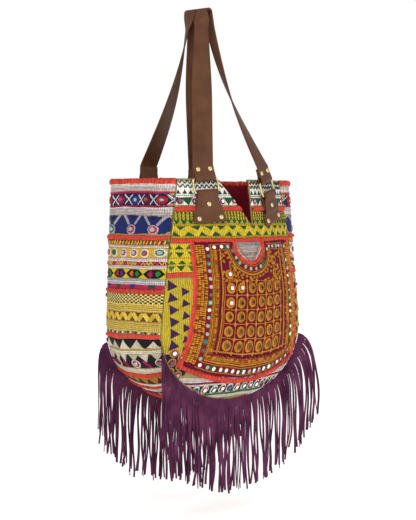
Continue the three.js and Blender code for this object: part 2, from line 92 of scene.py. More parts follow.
# smooth reading of the plan table, natural at both ends
def readPlan(drop):
    rows = bag["sections"]
    i = max(1, next((k for k, row in enumerate(rows) if row[0] >= drop), len(rows) - 1))
    before, after = rows[i - 1], rows[i]
    span = after[0] - before[0]
    s = (drop - before[0]) / span
    previous = rows[i - 2] if i > 1 else None
    following = rows[i + 1] if i + 1 < len(rows) else None
    early = span / 2 / (before[0] - previous[0]) if previous else -0.5
    late = span / 2 / (following[0] - after[0]) if following else -0.5
    weights = (
        -early * s**3 + 2 * early * s**2 - early * s,
        (1 + early) * s**3 + (-1.5 - 2 * early) * s**2 + (early - 0.5) * s + 1,
        (-1 - late) * s**3 + (1.5 + late) * s**2 + 0.5 * s,
        late * s**3 - late * s**2,
    )
    columns = zip(previous or after, before, after, following or before)
    mixed = [sum(w * v for w, v in zip(weights, column)) for column in columns]
    return dict(zip(bag["columns"], mixed))


plans = [readPlan(drop) for drop in range(bag["cornerDrop"] + 1)]


def planAt(drop):
    drop = min(max(drop, 0), bag["cornerDrop"] - 1e-6)
    low = int(drop)
    share = drop - low
    after = plans[low + 1]
    return {name: value * (1 - share) + after[name] * share for name, value in plans[low].items()}


# soft unevenness of hand-quilted cloth, the same for the cloth and for what is sewn on it
def pucker(a, b, seed):
    size = bag["puckerSize"]
    return bag["pucker"] * noise.noise(Vector((a / size, b / size, seed)))


def panelY(side, x, drop):
    plan = planAt(drop)
    across = x / plan["half"]
    down = max(0, drop - bag["cornerDrop"]) / bag["cornerDepth"]
    puff = plan["front"] if side < 0 else plan["back"]
    depth = plan["depth"] if side < 0 else plan["rear"]
    bulge = max(0, 1 - across * across - down * down)
    return side * (depth + puff * bulge + pucker(x, drop, side) * min(1, 6 * bulge))


def onPanel(side, x, drop, rise=0):
    here = Vector((x, panelY(side, x, drop), bag["rim"] - drop))
    slopeX = (panelY(side, x + 2, drop) - panelY(side, x - 2, drop)) / 4
    slopeZ = (panelY(side, x, drop - 2) - panelY(side, x, drop + 2)) / 4
    out = Vector((-side * slopeX, side, -side * slopeZ)).normalized()
    return (here + out * rise) * mm, out


# the U-shaped seam every millimetre or so: (x, drop, outward x, outward z)
def traceSeam():
    points = [(-planAt(d)["half"], d, -1, 0) for d in range(bag["cornerDrop"])]
    half, deep = planAt(bag["cornerDrop"])["half"], bag["cornerDepth"]
    turns = 440
    for k in range(turns + 1):
        angle = math.pi * k / turns
        out = Vector((-deep * math.cos(angle), -half * math.sin(angle))).normalized()
        points.append((-half * math.cos(angle), bag["cornerDrop"] + deep * math.sin(angle), out.x, out.y))
    points += [(-x, d, -nx, nz) for x, d, nx, nz in reversed(points[:bag["cornerDrop"]])]
    lengths = [0]
    for a, b in zip(points, points[1:]):
        lengths.append(lengths[-1] + math.hypot(b[0] - a[0], b[1] - a[1]))
    return points, lengths


seamPoints, seamLengths = traceSeam()
seamLength = seamLengths[-1]


def seamAt(length):
    length = min(max(length, 0), seamLength - 1e-6)
    low, high = 0, len(seamLengths) - 1
    while high - low > 1:
        middle = (low + high) // 2
        low, high = (middle, high) if seamLengths[middle] <= length else (low, middle)
    share = (length - seamLengths[low]) / (seamLengths[high] - seamLengths[low])
    return [a * (1 - share) + b * share for a, b in zip(seamPoints[low], seamPoints[high])]


# the strip between the seams: t runs from the front seam, -1, to the back seam, 1
def gussetSpot(length, t):
    x, drop, nx, nz = seamAt(length)
    plan = planAt(drop)
    puff = plan["left"] if x < 0 else plan["right"]
    side = puff * (1 - abs(t) ** plan["square"])
    under = (max(0, drop - bag["cornerDrop"]) / bag["cornerDepth"]) ** 2
    bulge = side * (1 - under) + bag["bottomPuff"] * (1 - t * t) * under
    reach = plan["depth"] if t < 0 else plan["rear"]
    bulge += pucker(length, t * reach, 3.3) * min(1, 4 * (1 - abs(t)))
    return Vector((x + nx * bulge, t * reach, bag["rim"] - drop + nz * bulge))


def onGusset(length, t, rise=0):
    here = gussetSpot(length, t)
    along = gussetSpot(length + 2, t) - gussetSpot(length - 2, t)
    across = gussetSpot(length, min(1, t + 0.03)) - gussetSpot(length, max(-1, t - 0.03))
    out = across.cross(along).normalized()
    return (here + out * rise) * mm, out


# colours as sRGB hex, turned to linear here only
def linear(hexCode):
    parts = [int(hexCode[i:i + 2], 16) / 255 for i in (1, 3, 5)]
    return tuple(c / 12.92 if c <= 0.04045 else ((c + 0.055) / 1.055) ** 2.4 for c in parts) + (1.0,)


# fills a node's inputs by name or number: numbers and colours as values, sockets as links
def plug(tree, node, inputs):
    for spot, source in inputs.items():
        if isinstance(source, (int, float, tuple)):
            node.inputs[spot].default_value = source
        else:
            tree.links.new(source, node.inputs[spot])


# adds a node with its inputs and settings
def addNode(tree, kind, inputs=None, **settings):
    made = tree.nodes.new("ShaderNode" + kind)
    for name, value in settings.items():
        setattr(made, name, value)
    plug(tree, made, inputs or {})
    return made


def startMaterial(name):
    made = bpy.data.materials.new(name)
    made.use_nodes = True
    tree = made.node_tree
    tree.nodes.clear()
    surface = addNode(tree, "BsdfPrincipled")
    addNode(tree, "OutputMaterial", {0: surface.outputs[0]})
    return made, tree, surface


# a wave texture of scale 1000 / (waveUnit * w) repeats about every 2 w millimetres
waveUnit = 6.3


# embroidery in cotton and silk floss, each motif in its own dye; the stitches are drawn coarser than real
# ones, so that they show at the photo's size
def threadMaterial(name, stitch=1.5):
    made, tree, surface = startMaterial(name)
    own = addNode(tree, "Attribute", attribute_name="thread")
    flat = addNode(tree, "UVMap", uv_map="flat").outputs[0]
    grain = addNode(tree, "TexNoise", {"Vector": flat, "Scale": 1000 / (4 * stitch), "Detail": 3.0})
    lines = addNode(tree, "TexWave", {"Vector": flat, "Scale": 1000 / (waveUnit * stitch), "Distortion": 4.0,
                                      "Detail": 2.0}, bands_direction="X").outputs["Fac"]
    # stitch lines darken the colour where the bump sinks: partly the thread's own lines, partly painted shade
    # in the grooves between stitches
    shade = addNode(tree, "MapRange", {0: lines, 3: 0.7, 4: 1.2})
    fade = addNode(tree, "MapRange", {0: grain.outputs["Fac"], 1: 0.3, 2: 0.7, 3: 0.82, 4: 1.18})
    both = addNode(tree, "Math", {0: shade.outputs[0], 1: fade.outputs[0]}, operation="MULTIPLY")
    colour = addNode(tree, "VectorMath", {0: own.outputs["Color"], 3: both.outputs[0]}, operation="SCALE")
    bump = addNode(tree, "Bump", {"Height": lines, "Strength": 0.5, "Distance": 0.0006})
    plug(tree, surface, {"Base Color": colour.outputs[0], "Normal": bump.outputs[0], "Roughness": 0.72,
                         "Specular IOR Level": 0.12, "Sheen Weight": 0.03, "Sheen Roughness": 0.5})
    return made


# plain weave cloth, two tones of the same yarn, drawn coarser than the real weave
def clothMaterial(name, dark, light, thread=1.3, rough=0.85):
    made, tree, surface = startMaterial(name)
    flat = addNode(tree, "UVMap", uv_map="flat").outputs[0]
    yarn = {"Vector": flat, "Scale": 1000 / (waveUnit * thread), "Distortion": 0.8}
    weave = [addNode(tree, "TexWave", yarn, bands_direction=way).outputs["Fac"] for way in ("X", "Y")]
    checks = addNode(tree, "Math", {0: weave[0], 1: weave[1]}, operation="MULTIPLY").outputs[0]
    blotch = addNode(tree, "TexNoise", {"Vector": flat, "Scale": 1000 / 26, "Detail": 4.0})
    mix = addNode(tree, "Math", {0: checks, 1: blotch.outputs["Fac"]}, operation="ADD")
    spread = addNode(tree, "MapRange", {0: mix.outputs[0], 1: 0.35, 2: 1.15}).outputs[0]
    colour = addNode(tree, "Mix", {0: spread, 6: linear(dark), 7: linear(light)}, data_type="RGBA")
    bump = addNode(tree, "Bump", {"Height": checks, "Strength": 0.35, "Distance": 0.0005})
    plug(tree, surface, {"Base Color": colour.outputs[2], "Normal": bump.outputs[0], "Roughness": rough,
                         "Specular IOR Level": 0.12, "Sheen Weight": 0.02})
    return made


# vegetable-tanned cowhide: fine pebble grain, clouded in its dye, softly shiny; suede is the same but dull
def leatherMaterial(name, dark, light, rough, shine, grain, depth):
    made, tree, surface = startMaterial(name)
    place = addNode(tree, "TexCoord").outputs["Object"]
    pebble = addNode(tree, "TexVoronoi", {"Vector": place, "Scale": 1000 / grain}).outputs["Distance"]
    cloud = addNode(tree, "TexNoise", {"Vector": place, "Scale": 1000 / 30, "Detail": 6.0}).outputs["Fac"]
    spread = addNode(tree, "MapRange", {0: cloud, 1: 0.3, 2: 0.7}).outputs[0]
    colour = addNode(tree, "Mix", {0: spread, 6: linear(dark), 7: linear(light)}, data_type="RGBA")
    bump = addNode(tree, "Bump", {"Height": pebble, "Strength": 0.3, "Distance": depth})
    worn = addNode(tree, "MapRange", {0: cloud, 3: rough - 0.08, 4: rough + 0.12})
    plug(tree, surface, {"Base Color": colour.outputs[2], "Normal": bump.outputs[0],
                         "Roughness": worn.outputs[0], "Specular IOR Level": shine})
    return made


# bare metal, faintly scuffed; without a colour it takes each disc's own colour, set at random or given as a
# painted reflection
def metalMaterial(name, colour, rough):
    made, tree, surface = startMaterial(name)
    place = addNode(tree, "TexCoord").outputs["Object"]
    scuff = addNode(tree, "TexNoise", {"Vector": place, "Scale": 1000 / 3, "Detail": 5.0})
    gloss = addNode(tree, "MapRange", {0: scuff.outputs["Fac"], 3: rough * 0.6, 4: rough * 1.5})
    own = linear(colour) if colour else addNode(tree, "Attribute", attribute_name="thread").outputs["Color"]
    plug(tree, surface, {"Base Color": own, "Roughness": gloss.outputs[0], "Metallic": 1.0})
    return made


materials = {
    "thread": threadMaterial("cotton_floss_embroidery"),
    "cloth": clothMaterial("handwoven_ochre_grey_cotton", "#8a7a4a", "#b3a26a"),
    "backCloth": clothMaterial("handwoven_ochre_cotton", "#8f6a22", "#c79a3a"),
    "patchCloth": clothMaterial("maroon_patch_cotton", "#50081f", "#7c1233"),
    "lining": clothMaterial("maroon_lining_twill", "#5c0716", "#8c1024", 1.1, 0.7),
    "coral": threadMaterial("rolled_coral_cotton", 3.2),
    "leather": leatherMaterial("brown_cowhide", "#54321d", "#684028", 0.48, 0.26, 1.6, 0.0003),
    "suede": leatherMaterial("plum_suede", "#3d1a33", "#6c3857", 0.92, 0.08, 1.2, 0.0004),
    "gilt": metalMaterial("pale_gold_plate", "#e2cd9a", 0.26),
    "mirror": metalMaterial("small_round_mirrors", None, 0.12),
}
print("materials made")


# keeps each point's place in the flat pattern for the materials
def markFlat(bm, spot):
    flat = bm.loops.layers.uv.new("flat")
    for face in bm.faces:
        for loop in face.loops:
            loop[flat].uv = spot(loop.vert.co)


# flat pattern wrapped onto the bag: x along the cloth, y up, z the rise above it, all in millimetres
def wrap(bm, place):
    markFlat(bm, lambda co: co.xy * mm)
    for vert in bm.verts:
        vert.co = place(*vert.co)


def addPiece(bm, name, material, slot, replaced=(), smooth=True):
    for face in bm.faces:
        face.smooth = smooth
    mesh = bpy.data.meshes.new(name)
    bm.to_mesh(mesh)
    bm.free()
    piece = bpy.data.objects.new(name, mesh)
    bpy.context.collection.objects.link(piece)
    mesh.materials.append(materials[material])
    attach(piece, "root")
    if replaced:
        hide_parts(*replaced)
    return piece


def finishPiece(bm, *details, **more):
    bmesh.ops.recalc_face_normals(bm, faces=bm.faces)
    addPiece(bm, *details, **more)


def startSewing():
    bm = bmesh.new()
    bm.loops.layers.float_color.new("thread")
    return bm


def dye(bm, verts, hexCode):
    layer = bm.loops.layers.float_color["thread"]
    tint = linear(hexCode)
    shade = random.uniform(0.88, 1.08)
    for face in {f for v in verts for f in v.link_faces}:
        for loop in face.loops:
            loop[layer] = (tint[0] * shade, tint[1] * shade, tint[2] * shade, 1)


# one raised satin-stitch shape: 3 sides point up, 4 make a diamond, 14 a dot
def stamp(bm, sides, size, x, y, height, colour, turn=0, squeeze=(1, 1), lift=0):
    move = Matrix.Translation((x, y, lift + height / 2)) @ Matrix.Diagonal((*squeeze, 1, 1))
    made = bmesh.ops.create_cone(bm, cap_ends=True, segments=sides, radius1=size, radius2=size * 0.8,
                                 depth=height, matrix=move @ Matrix.Rotation(math.radians(turn), 4, "Z"))
    dye(bm, made["verts"], colour)


def ease(value, low, high):
    share = min(1, max(0, (value - low) / (high - low)))
    return share * share * (3 - 2 * share)


# a sewn strip, sunk a little into the cloth: flat for a band of ground colour, round for a cord or a rolled
# piping; taper is the length over which its ends flatten
def ribbon(bm, x0, x1, y, width, height, colour, cell=6.0, crosswise=4, wobble=0.0, sink=0.3, roll=0.0,
           taper=0.01):
    made = bmesh.ops.create_grid(bm, x_segments=max(1, int((x1 - x0) / cell)), y_segments=crosswise, size=1)
    seed = random.random() * 50
    for vert in made["verts"]:
        a, b, _ = vert.co
        x = x0 + (x1 - x0) * (a + 1) / 2
        ripple = wobble * noise.noise(Vector((x / 7, b * 0.7, seed)))
        twist = roll * math.sin(x * 0.9 + b * 1.6 + seed)
        ends = ease(min(x - x0, x1 - x), -0.5 * taper, taper)
        rise = height * ends * math.sqrt(max(0, 1 - b ** 4)) - sink
        vert.co = (x, y + b * width / 2 + ripple, rise + twist * (1 - b * b))
    dye(bm, made["verts"], colour)


coral, black = "#cf4637", "#1b1719"


# small round mirror held by a ring of buttonhole stitch, often on a paler halo
def ringedMirror(sewn, glass, x, y, radius, ring, halo=None, lift=0.3, paintedReflection=None, wide=1.9):
    if halo:
        stamp(sewn, 14, radius + wide + 1.7, x, y, 0.9, halo, lift=lift - 0.2)
    stamp(sewn, 14, radius + wide, x, y, 1.7, ring, lift=lift - 0.1)
    tilt = Matrix.Rotation(about(0.1), 4, "X")
    tilt = tilt @ Matrix.Rotation(about(0.1), 4, "Y")
    made = bmesh.ops.create_cone(glass, cap_ends=True, segments=12, radius1=radius, radius2=radius * 0.94,
                                 depth=0.6, matrix=Matrix.Translation((x, y, lift + 1.75)) @ tilt)
    # glass colour: the painted reflection given by the caller, else light or dark at random
    dye(glass, made["verts"], paintedReflection or random.choice(("#f4f4f2", "#eef0ee", "#9aa09f", "#5b6463")))


# evenly spaced places along a row, a little irregular as sewn by eye
def spaced(x0, x1, period, loose=0.06):
    count = max(1, round((x1 - x0) / period))
    step = (x1 - x0) / count
    return [(k, x0 + (k + 0.5) * step + about(loose) * step) for k in range(count)]


def cordRow(bm, x0, x1, top, bottom, colours, pitch=2.6):
    count = max(1, round((bottom - top) / pitch))
    step = (bottom - top) / count
    for k in range(count):
        ribbon(bm, x0, x1, -(top + (k + 0.5) * step), step * 1.05, 1.7, random.choice(colours), cell=4,
               wobble=0.4, sink=0.4)


def ground(bm, x0, x1, top, bottom, colour, height=0.75):
    ribbon(bm, x0, x1, -(top + bottom) / 2, bottom - top, height, colour, cell=5,
           crosswise=max(4, int((bottom - top) / 5)), sink=0.2)


# cotton rolled into a soft piping, puckered by its stitches
def piping(bm, x0, x1, top, bottom):
    ribbon(bm, x0, x1, -(top + bottom) / 2, bottom - top, 3.8, coral, cell=1.3, crosswise=7, wobble=1.3,
           sink=0.4, roll=0.9, taper=7)


# a straight run of satin stitch from one point to another
def bar(bm, x0, y0, x1, y1, width, height, colour):
    strip = startSewing()
    way = Vector((x1 - x0, y1 - y0))
    ribbon(strip, 0, way.length, 0, width, height, colour, cell=3, wobble=0.25)
    move = Matrix.Translation((x0, y0, 0)) @ Matrix.Rotation(math.atan2(way.y, way.x), 4, "Z")
    bmesh.ops.transform(strip, matrix=move, verts=strip.verts)
    joinInto(bm, strip)


# zigzag of straight stitches, alternating its colours
def zigzag(bm, x0, x1, top, bottom, period, colours, thick=1.5, run=1):
    tall = bottom - top
    lean = math.degrees(math.atan2(period / 2, tall))
    for k, x in spaced(x0, x1, period / 2, 0):
        tilt = lean if k % 2 else -lean
        move = Matrix.Translation((x, -(top + bottom) / 2, 1.1)) @ Matrix.Rotation(math.radians(tilt), 4, "Z")
        made = bmesh.ops.create_cube(bm, size=1, matrix=move @ Matrix.Diagonal((thick, tall * 1.08, 1.1, 1)))
        dye(bm, made["verts"], colours[k // run % len(colours)])


def triangleRow(bm, x0, x1, top, bottom, period, colours, turn=0, height=1.3, loose=0.05):
    tall = bottom - top
    for k, x in spaced(x0, x1, period, loose):
        size = tall / 1.5 * random.uniform(0.9, 1.05)
        shift = tall / 6 * (-1 if turn == 0 else 1)
        stamp(bm, 3, size, x, -(top + bottom) / 2 + shift, height, colours[k % len(colours)],
              turn + about(6), (period / tall / 1.2, 1))


def mirrorRow(bm, glass, x0, x1, middle, period, radius, rings, halo=None, wide=1.9):
    for k, x in spaced(x0, x1, period):
        y = about(0.5) - middle
        ringedMirror(bm, glass, x, y, radius, rings[k % len(rings)], halo, wide=wide)


# two-coloured diamonds outlined in black between yellow triangles
def diamondBand(bm, x0, x1, top, bottom, period, colours):
    middle, half = -(top + bottom) / 2, (bottom - top) / 2
    ground(bm, x0, x1, top, bottom, black)
    for k, x in spaced(x0, x1, period, 0.03):
        for side in (-1, 1):
            stamp(bm, 3, half * 0.95, x + period / 2, middle + side * half * 0.62, 1.2, "#d8bf24",
                  180 if side > 0 else 0, (1.25, 0.75))
            colour = colours[(2 * k + (side > 0)) % len(colours)]
            stamp(bm, 4, half * 0.72, x + side * half * 0.5, middle, 1.6, colour, 0, (0.8, 1))
        stamp(bm, 4, half * 0.34, x, middle, 2.0, "#1d1420")


# the ways to sew a row, set to one pattern and one width
def rowsOn(bm, x0, x1):
    return [partial(sew, bm, x0, x1) for sew in (cordRow, ground, piping, triangleRow, zigzag, ribbon)]


# the strip's bands from the rim down, in millimetres along the cloth
def sewGussetBands(bm, glass, x0, x1):
    cords, fill, roll, peaks, zags, cord = rowsOn(bm, x0, x1)
    taupe, pink = ("#d2c5c2", "#e2d6d1", "#c4b8b9"), ("#dccbc9", "#cbb4bb", "#e6d9d2")
    ochre, cream = ("#ccaf50", "#dcc160", "#d3b656"), ("#cfc5ac", "#bdb196", "#dcd3bd")
    magenta, red, green, maroon = "#a3194f", "#b3202e", "#1f7448", "#561a26"
    navy, blue, yellow, mustard = "#23203f", "#1d2a63", "#d6a92a", "#a37a26"
    cords(8, 20, taupe)
    cord(-20.5, 1.6, 1.8, "#d9806c")
    fill(21.5, 46, navy)
    for edge in (23, 44.5):
        cord(-edge, 3.0, 1.7, magenta)
    for _, x in spaced(x0, x1, 23, 0):
        for lean in (-1, 1):
            bar(bm, x + 11.5 - 6 * lean, -25.5, x + 11.5 + 6 * lean, -42.5, 1.5, 1.7, "#e2dcdc")
            bar(bm, x + 4.5 * lean, -25.5, x + 9.5 * lean, -34, 1.1, 1.5, "#cfc4d0")
    mirrorRow(bm, glass, x0, x1, 34, 23, 2.9, (red, magenta, "#27408c", "#7a1622"), wide=3.6)
    cords(46, 58, taupe)
    fill(58, 90, blue)
    for k, x in spaced(x0, x1, 34, 0.02):
        for lean in (-1, 1):
            bar(bm, x + lean * 14.5, -58.5, x + lean * 4, -75, 5.2, 1.5, "#a99aa0")
        stamp(bm, 3, 6.5, x, -61.5, 1.3, "#16204f", 180, (1, 0.7))
        ringedMirror(bm, glass, x, -81, 3.5, (green, magenta, red)[k % 3], "#b3a7b0", wide=2.8)
    roll(90, 98)
    fill(98, 106, "#7a2a20")
    zags(98.6, 105.5, 5, ("#e0a82c", "#c8452a", "#e3c03a", "#a02c2c", "#d8c84a", "#2f6a34"), 1.7)
    cords(106, 110, pink, 2.0)
    fill(110, 127.5, yellow)
    mirrorRow(bm, glass, x0, x1, 118.8, 17.6, 3.2, ("#b8322c", green, "#8e2c68", "#a33a2c"), "#e9e0da", 2.3)
    cords(127.5, 133, pink)
    fill(133, 139, black)
    zags(133.4, 138.6, 5, ("#c8334f", "#e08a3a", "#d9b02e"), 1.6, 3)
    cords(139, 144, pink)
    diamondBand(bm, x0, x1, 144, 160, 25.6, (magenta, "#2f7a34", red, "#5c2a78", "#c8602a", "#2f7a34"))
    cords(160, 169, ("#d9cfd0", "#bfb3bd", "#a9b0b8"))
    fill(169, 176.5, "#b8244f", 1.4)
    for k, x in spaced(x0, x1, 30):
        stamp(bm, 4, 4.6, x, -172, 1.5, ("#4f2a6a", "#2f4a36")[k % 2], 45, (1.5, 0.9))
    roll(176, 182.5)
    fill(182, 198, "#cfb04e")
    for n in range(6):
        for k, x in spaced(x0, x1, 3.2, 0.02):
            stamp(bm, 4, 1.9, x, -(184.6 + n * 2.5), 1.1, ("#f0e098", "#3a2a1c")[(k + n) % 2], 45, (1, 0.8))
    cords(198, 211, ochre, 3)
    fill(211, 227, "#7a4428")
    zags(213, 225, 15, ("#cfae36", "#dcbc48"), 5.6)
    cords(227, 242, ochre, 3)
    for k, x in spaced(x0, x1, 4.2, 0):
        stamp(bm, 4, 1.7, x, -243.7, 1.1, ("#eae6de", "#2f7a80", black)[k % 3], 45)
    roll(245.5, 252)
    fill(251.5, 267, black)
    peaks(253.5, 267, 22, ("#d3cab4", "#c2b89e"), 0, 1.7)
    cord(-267.5, 2.2, 1.8, "#b8963a", wobble=0.8)
    cords(269, 274, cream, 2.5)
    fill(274, 299, black)
    triangleRow(bm, x0 + 6, x1, 274, 287, 17, ("#cfc5ac", "#bdb196"), 180, 1.7)
    for _, x in spaced(x0, x1, 34):
        bar(bm, x - 13, -284, x - 5, -296, 5.5, 2.4, magenta)
        ringedMirror(bm, glass, x + 9, -290, 3.4, magenta, "#d8c9b8", wide=2.4)
    cords(299, 307, cream, 2.7)
    roll(307, 315)
    fill(315, 333, mustard)
    peaks(316.5, 331.5, 16, (maroon,))
    cords(333, 337, ("#e4dace",), 2)
    roll(337, 342)
    cords(342, 354, taupe)
    fill(354, 372, mustard)
    peaks(355.5, 370.5, 16, (maroon, "#2c2a4a"), 180)
    roll(372, 379)
    cords(379, 434, ochre, 3.4)
    roll(434, 441)


def joinInto(target, source):
    mesh = bpy.data.meshes.new("joined")
    source.to_mesh(mesh)
    source.free()
    target.from_mesh(mesh)
    bpy.data.meshes.remove(mesh)


# sews a straight strip by itself, bends it with place and adds it to the pattern
def layStrip(bm, glass, length, sew, place):
    strip, discs = startSewing(), startSewing()
    sew(strip, discs, length)
    for made, whole in ((strip, bm), (discs, glass)):
        for vert in made.verts:
            vert.co.xy = place(*vert.co.xy)
        joinInto(whole, made)


def layAlong(bm, glass, start, end, sew):
    start, way = Vector(start), Vector(end) - Vector(start)
    length, step = way.length, way.normalized()
    layStrip(bm, glass, length, sew, lambda x, y: start + step * x + step.orthogonal() * y)


# around part of a circle, from one angle to another in degrees
def layAround(bm, glass, centre, radius, start, end, sew):
    def place(x, y):
        angle = math.radians(start) + x / radius
        return Vector(centre) + Vector((math.cos(angle), math.sin(angle))) * (radius + y)

    layStrip(bm, glass, math.radians(end - start) * radius, sew, place)


# half width of a panel at a depth, just inside its seam
def panelEdge(drop):
    down = min(1, max(0, drop - bag["cornerDrop"]) / bag["cornerDepth"])
    return planAt(drop)["half"] * math.sqrt(1 - down * down) - 1


# keeps a flat pattern inside its panel
def trimToPanel(bm):
    outside = set()
    for vert in bm.verts:
        edge = panelEdge(max(0, -vert.co.y))
        if abs(vert.co.x) > edge:
            outside.add(vert)
            vert.co.x = math.copysign(edge, vert.co.x)
    gone = [face for face in bm.faces if all(vert in outside for vert in face.verts)]
    bmesh.ops.delete(bm, geom=gone, context="FACES")


# cuts the dip in the front rim out of a flat pattern
def trimFront(bm):
    trimToPanel(bm)
    dip = bag["dip"]
    foot = Vector((dip["foot"], -dip["depth"], 0))
    for top in (dip["left"], dip["right"]):
        start = Vector((top, 0, 0))
        near = [face for face in bm.faces if any(vert.co.y > foot.y for vert in face.verts)]
        parts = near + list({edge for face in near for edge in face.edges})
        parts += list({vert for face in near for vert in face.verts})
        bmesh.ops.bisect_plane(bm, geom=parts, dist=1e-5, plane_co=start,
                               plane_no=(foot - start).cross(Vector((0, 0, 1))))
    gone = []
    for face in bm.faces:
        middle = face.calc_center_median()
        share = -middle.y / dip["depth"]
        left, right = [dip[word] + (dip["foot"] - dip[word]) * share for word in ("left", "right")]
        if share < 1 and left < middle.x < right:
            gone.append(face)
    bmesh.ops.delete(bm, geom=gone, context="FACES")


# bands reach past the panels' widest place and are trimmed to it
panelHalf = 165


def sewFrontBands(bm, glass):
    x0, x1 = -panelHalf, panelHalf
    cords, fill, roll, peaks, zags, cord = rowsOn(bm, x0, x1)
    green, lime, yellow, white = "#1a5230", "#adac3a", "#d4b62a", "#f0eadf"
    purple, plum, teal = ("#43234f", "#3a2148"), "#2b1a30", "#1f6a48"
    fill(2, 42, white)
    for top in (2.5, 9):
        zags(top, top + 5.5, 8, ("#22201f", "#2d4a3c"), 1.3)
    peaks(16, 24, 10, (green, "#24483a"))
    cord(-26, 1.6, 1.5, "#8a8480")
    peaks(28, 41, 24, ("#8c2038", "#3c2a48", green), 180)
    mirrorRow(bm, glass, x0 + 12, x1 - 12, 34, 24, 2.8, ("#7a1830",), "#cfc5bc", 2.4)
    roll(42, 50)
    fill(50, 69, lime)
    for top in (50.5, 55, 59.5):
        zags(top, top + 4, 6, (yellow, "#24382a"), 1.6)
    peaks(63.5, 69.5, 11, (green,), 180)
    fill(69, 90, yellow, 1.0)
    peaks(80, 88, 22, (green,), 0, 1.5, 0.12)
    triangleRow(bm, x0 + 11, x1 - 11, 72, 79, 22, (green,), 180, 1.5, 0.12)
    zags(72, 88, 22, ("#d9bf34", "#cbb02c"), 5)
    cords(86.5, 90.5, ("#b89c2c",), 2)
    cord(-70, 2.6, 1.8, "#bd9c26", wobble=0.6)
    roll(90.5, 97.5)
    for a, b in ((x0, -103), (115, x1)):
        ground(bm, a, b, 97, 142, yellow)
        for n, top in enumerate((100, 111, 123, 132)):
            foot = top + (9 if n % 2 else 7)
            triangleRow(bm, a, b, top, foot, 15, (green, "#2c6a3c"), 180 * (n % 2), 1.4, 0.15)
            cordRow(bm, a, b, top + 8, top + 10.5, ("#dcc440", "#b8a838"), 2.5)
        piping(bm, a, b, 142, 149.5)
    for a, b, middle in ((x0, -108, -131), (118, x1, 140)):
        ground(bm, a, b, 149.5, 266, "#b8a12e")
        for n, x in enumerate((middle - 14, middle + 4)):
            for k in range(6):
                stamp(bm, 3, 10 - 2 * n, x, -(161 + k * 18 + 9 * n), 1.5, purple[k % 2], -90 + about(15))
    for a, b, middle in ((x0, -117, -137), (120, x1, 137)):
        ground(bm, a, b, 262, 302, plum)
        for k in range(6):
            x = middle + (8 if k % 2 else -5)
            ringedMirror(bm, glass, x, -(262 + k * 7), 3.0, "#a3284f", "#b8964a", wide=2.4)
    cords(302, 310, ("#c9bfb8", "#b3a8a6", "#d8cfc8"))
    cord(-311.5, 3.4, 1.9, "#93204c")
    cords(313, 316, ("#d8cfc9",))
    fill(316, 331, "#28352f")
    mirrorRow(bm, glass, -112, 112, 323.5, 15.5, 3.2, ("#a3202c", "#26337a", "#b8343a", teal), "#ddd4cc", 2.3)
    cord(-332, 2.6, 1.8, teal)
    cords(333.5, 338, ("#cfc5c0",))


# the cloth showing in the patch's scoop: grey cords with an ochre and a white point
def sewScoop(bm, _):
    x, wide = -4, 34
    cordRow(bm, x - wide, x + wide, 97.5, 140, ("#b5a6a4", "#a4959a", "#c2b5b0"), 2.4)
    for lean in (-1, 1):
        bar(bm, x + lean * 28, -100, x, -130, 2.6, 2.2, "#a97a2c")
        bar(bm, x + lean * 31, -106, x, -136, 2.0, 2.2, "#ddd5d0")
    bar(bm, x + 20, -99, x + 16, -104, 3, 2.4, "#2c3f8a")


# the patch's own flat pattern: x -122 to 122, y 0 to -208
patch = {"top": 97, "side": 280, "bottom": 307, "topLeft": -104, "topRight": 116, "sideLeft": -126,
         "sideRight": 122, "half": 122, "tall": 208, "scoop": (-10, 0), "scoopRadius": 40, "rise": 2.2,
         "pitch": 21.8, "pitchAcross": 23.6, "middle": -4, "columns": 6, "rows": 5, "firstRow": -77,
         "seeds": 170}


def onPatch(x, y, rise):
    p, v = x / patch["half"], -y / patch["tall"]
    left = patch["topLeft"] + (patch["sideLeft"] - patch["topLeft"]) * v * v
    right = patch["topRight"] + (patch["sideRight"] - patch["topRight"]) * v * v
    drop = patch["top"] + (patch["side"] - patch["top"]) * v
    drop += v * v * (patch["bottom"] - patch["side"]) * (1 - p * p)
    return onPanel(-1, left + (right - left) * (p + 1) / 2, drop, rise)[0]


def outOfScoop(bm):
    centre, radius = Vector(patch["scoop"]), patch["scoopRadius"]
    inside = set()
    for vert in bm.verts:
        away = vert.co.xy - centre
        if away.length < radius:
            inside.add(vert)
            away = away.normalized() * radius if away.length > 1e-6 else Vector((0, -radius))
            vert.co.xy = centre + away
    gone = [face for face in bm.faces if all(vert in inside for vert in face.verts)]
    bmesh.ops.delete(bm, geom=gone, context="FACES")


